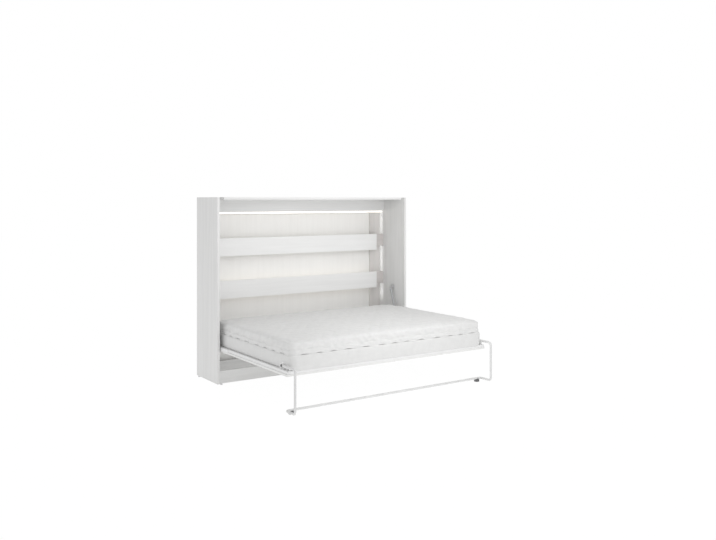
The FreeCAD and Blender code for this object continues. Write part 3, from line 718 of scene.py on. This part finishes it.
# ---------------------------------------------------------------------------------
# Hem: the cover's lower edge, a soft roll that rises and falls in scallops where it
# laps over the core's upper seam.
# ---------------------------------------------------------------------------------
def ring_path(low, high, corner, step):
    """Points round a rounded rectangle in plan, a step apart along its sides."""
    points = []
    centres = [(high[0] - corner, low[1] + corner, -90),
               (high[0] - corner, high[1] - corner, 0),
               (low[0] + corner, high[1] - corner, 90),
               (low[0] + corner, low[1] + corner, 180)]
    for index, (x, y, start) in enumerate(centres):
        for turn in range(0, 91, 10):
            angle = math.radians(start + turn)
            points.append((x + corner * math.cos(angle), y + corner * math.sin(angle)))
        last = points[-1]
        next_x, next_y, next_start = centres[(index + 1) % 4]
        angle = math.radians(next_start)
        target = (next_x + corner * math.cos(angle), next_y + corner * math.sin(angle))
        count = max(int(math.dist(last, target) / step), 2)
        points += [(last[0] + (target[0] - last[0]) * share / count,
                    last[1] + (target[1] - last[1]) * share / count)
                   for share in range(1, count)]
    return np.array(points)


def roll_round(path, level, across, tall, sides):
    """A closed oval roll along a closed path in plan, at a level that may vary."""
    ahead = np.roll(path, -1, axis=0) - np.roll(path, 1, axis=0)
    ahead /= np.linalg.norm(ahead, axis=1)[:, None]
    outward = np.column_stack([ahead[:, 1], -ahead[:, 0]])
    rings = []
    for side in range(sides):
        angle = math.tau * side / sides
        rings.append(np.column_stack([path + outward * across * math.cos(angle),
                                      level + tall * math.sin(angle)]))
    count = len(path)
    faces = [(side * count + index, side * count + (index + 1) % count,
              (side + 1) % sides * count + (index + 1) % count,
              (side + 1) % sides * count + index)
             for side in range(sides) for index in range(count)]
    mesh = bpy.data.meshes.new("roll")
    mesh.from_pydata(np.concatenate(rings).tolist(), [], faces)
    return mesh


hem_inset = 0.0045
hem_path = ring_path(cover_low + hem_inset, cover_high - hem_inset,
                     corner=cover_corner - hem_inset, step=0.010)
hem_run = around(hem_path)
hem_rise, scallop = 0.003, 0.0055
hem_level = (cover_low[2] + hem_rise
             + scallop * np.sin(hem_run * 42 + 0.9 * np.sin(hem_run * 9)))
hem_mesh = roll_round(hem_path, hem_level, across=0.0055, tall=0.0065, sides=12)
hem = add_piece("mattress_hem", hem_mesh,
                knit_material("hem_knit", (0.75, 0.75, 0.745), (0.72, 0.72, 0.715),
                              stitch=0.002, wrinkle=0.0005),
                "bed")


# ---------------------------------------------------------------------------------
# Plugs: white plastic caps pressed into the open ends of the frame's side tubes.
# ---------------------------------------------------------------------------------
def join_meshes(name, meshes):
    """One mesh from several, which are then let go."""
    made = bmesh.new()
    for mesh in meshes:
        made.from_mesh(mesh)
        bpy.data.meshes.remove(mesh)
    joined = bpy.data.meshes.new(name)
    made.to_mesh(joined)
    made.free()
    return joined


def plug_mesh(low, high, dome):
    """A flange with a bevelled rim, whose outer face bows out a little.

    Over the face, with u and v from -1 to 1, the bow is dome * (1 - u^4) * (1 - v^4).
    low[1] is the outer face's place and high[1] the place where the flange meets the tube.
    """
    across = np.linspace(-1, 1, 13)
    middle = (np.array(low) + np.array(high)) / 2
    half = (np.array(high) - np.array(low)) / 2
    outward = -1 if low[1] < high[1] else 1
    rim_depth, face_share = 0.35, 0.90
    points, faces = [], []
    for depth in (0.0, rim_depth, 1.0):
        share = face_share if depth == 0 else 1
        for u in across:
            for v in across:
                bow = dome * (1 - u ** 4) * (1 - v ** 4) if depth == 0 else 0
                points.append((middle[0] + half[0] * share * u,
                               low[1] + (high[1] - low[1]) * depth + outward * bow,
                               middle[2] + half[2] * share * v))
    count = len(across)

    def at(layer, i, j):
        return layer * count * count + i * count + j

    rim = ([(i, 0) for i in range(count)] + [(count - 1, j) for j in range(1, count)]
           + [(i, count - 1) for i in range(count - 2, -1, -1)]
           + [(0, j) for j in range(count - 2, 0, -1)])
    for layer in (0, 1):
        for here, there in zip(rim, rim[1:] + rim[:1]):
            faces.append((at(layer, *here), at(layer, *there),
                          at(layer + 1, *there), at(layer + 1, *here)))
    for i in range(count - 1):
        for j in range(count - 1):
            faces.append((at(0, i, j), at(0, i, j + 1), at(0, i + 1, j + 1),
                          at(0, i + 1, j)))
            faces.append((at(2, i, j), at(2, i + 1, j), at(2, i + 1, j + 1),
                          at(2, i, j + 1)))
    mesh = bpy.data.meshes.new("plug")
    mesh.from_pydata(points, [], faces)
    made = bmesh.new()
    made.from_mesh(mesh)
    bmesh.ops.recalc_face_normals(made, faces=made.faces)
    loose = [vert for vert in made.verts if not vert.link_faces]
    bmesh.ops.delete(made, geom=loose, context="VERTS")
    made.to_mesh(mesh)
    made.free()
    return mesh


plug_sheet = 0.0015
plugs = []
for side in ("left", "right"):
    tube_low, tube_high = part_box(f"frame_side_tube_{side}")
    for near, far in ((tube_low[1] - plug_sheet, tube_low[1]),
                      (tube_high[1] + plug_sheet, tube_high[1])):
        plugs.append(plug_mesh((tube_low[0], near, tube_low[2]),
                               (tube_high[0], far, tube_high[2]), dome=0.0004))
add_piece("tube_plugs", join_meshes("tube_plugs", plugs),
          coated_material("plug_plastic", (0.80, 0.80, 0.80), 0.45, 500.0, 0.00008),
          "bed")
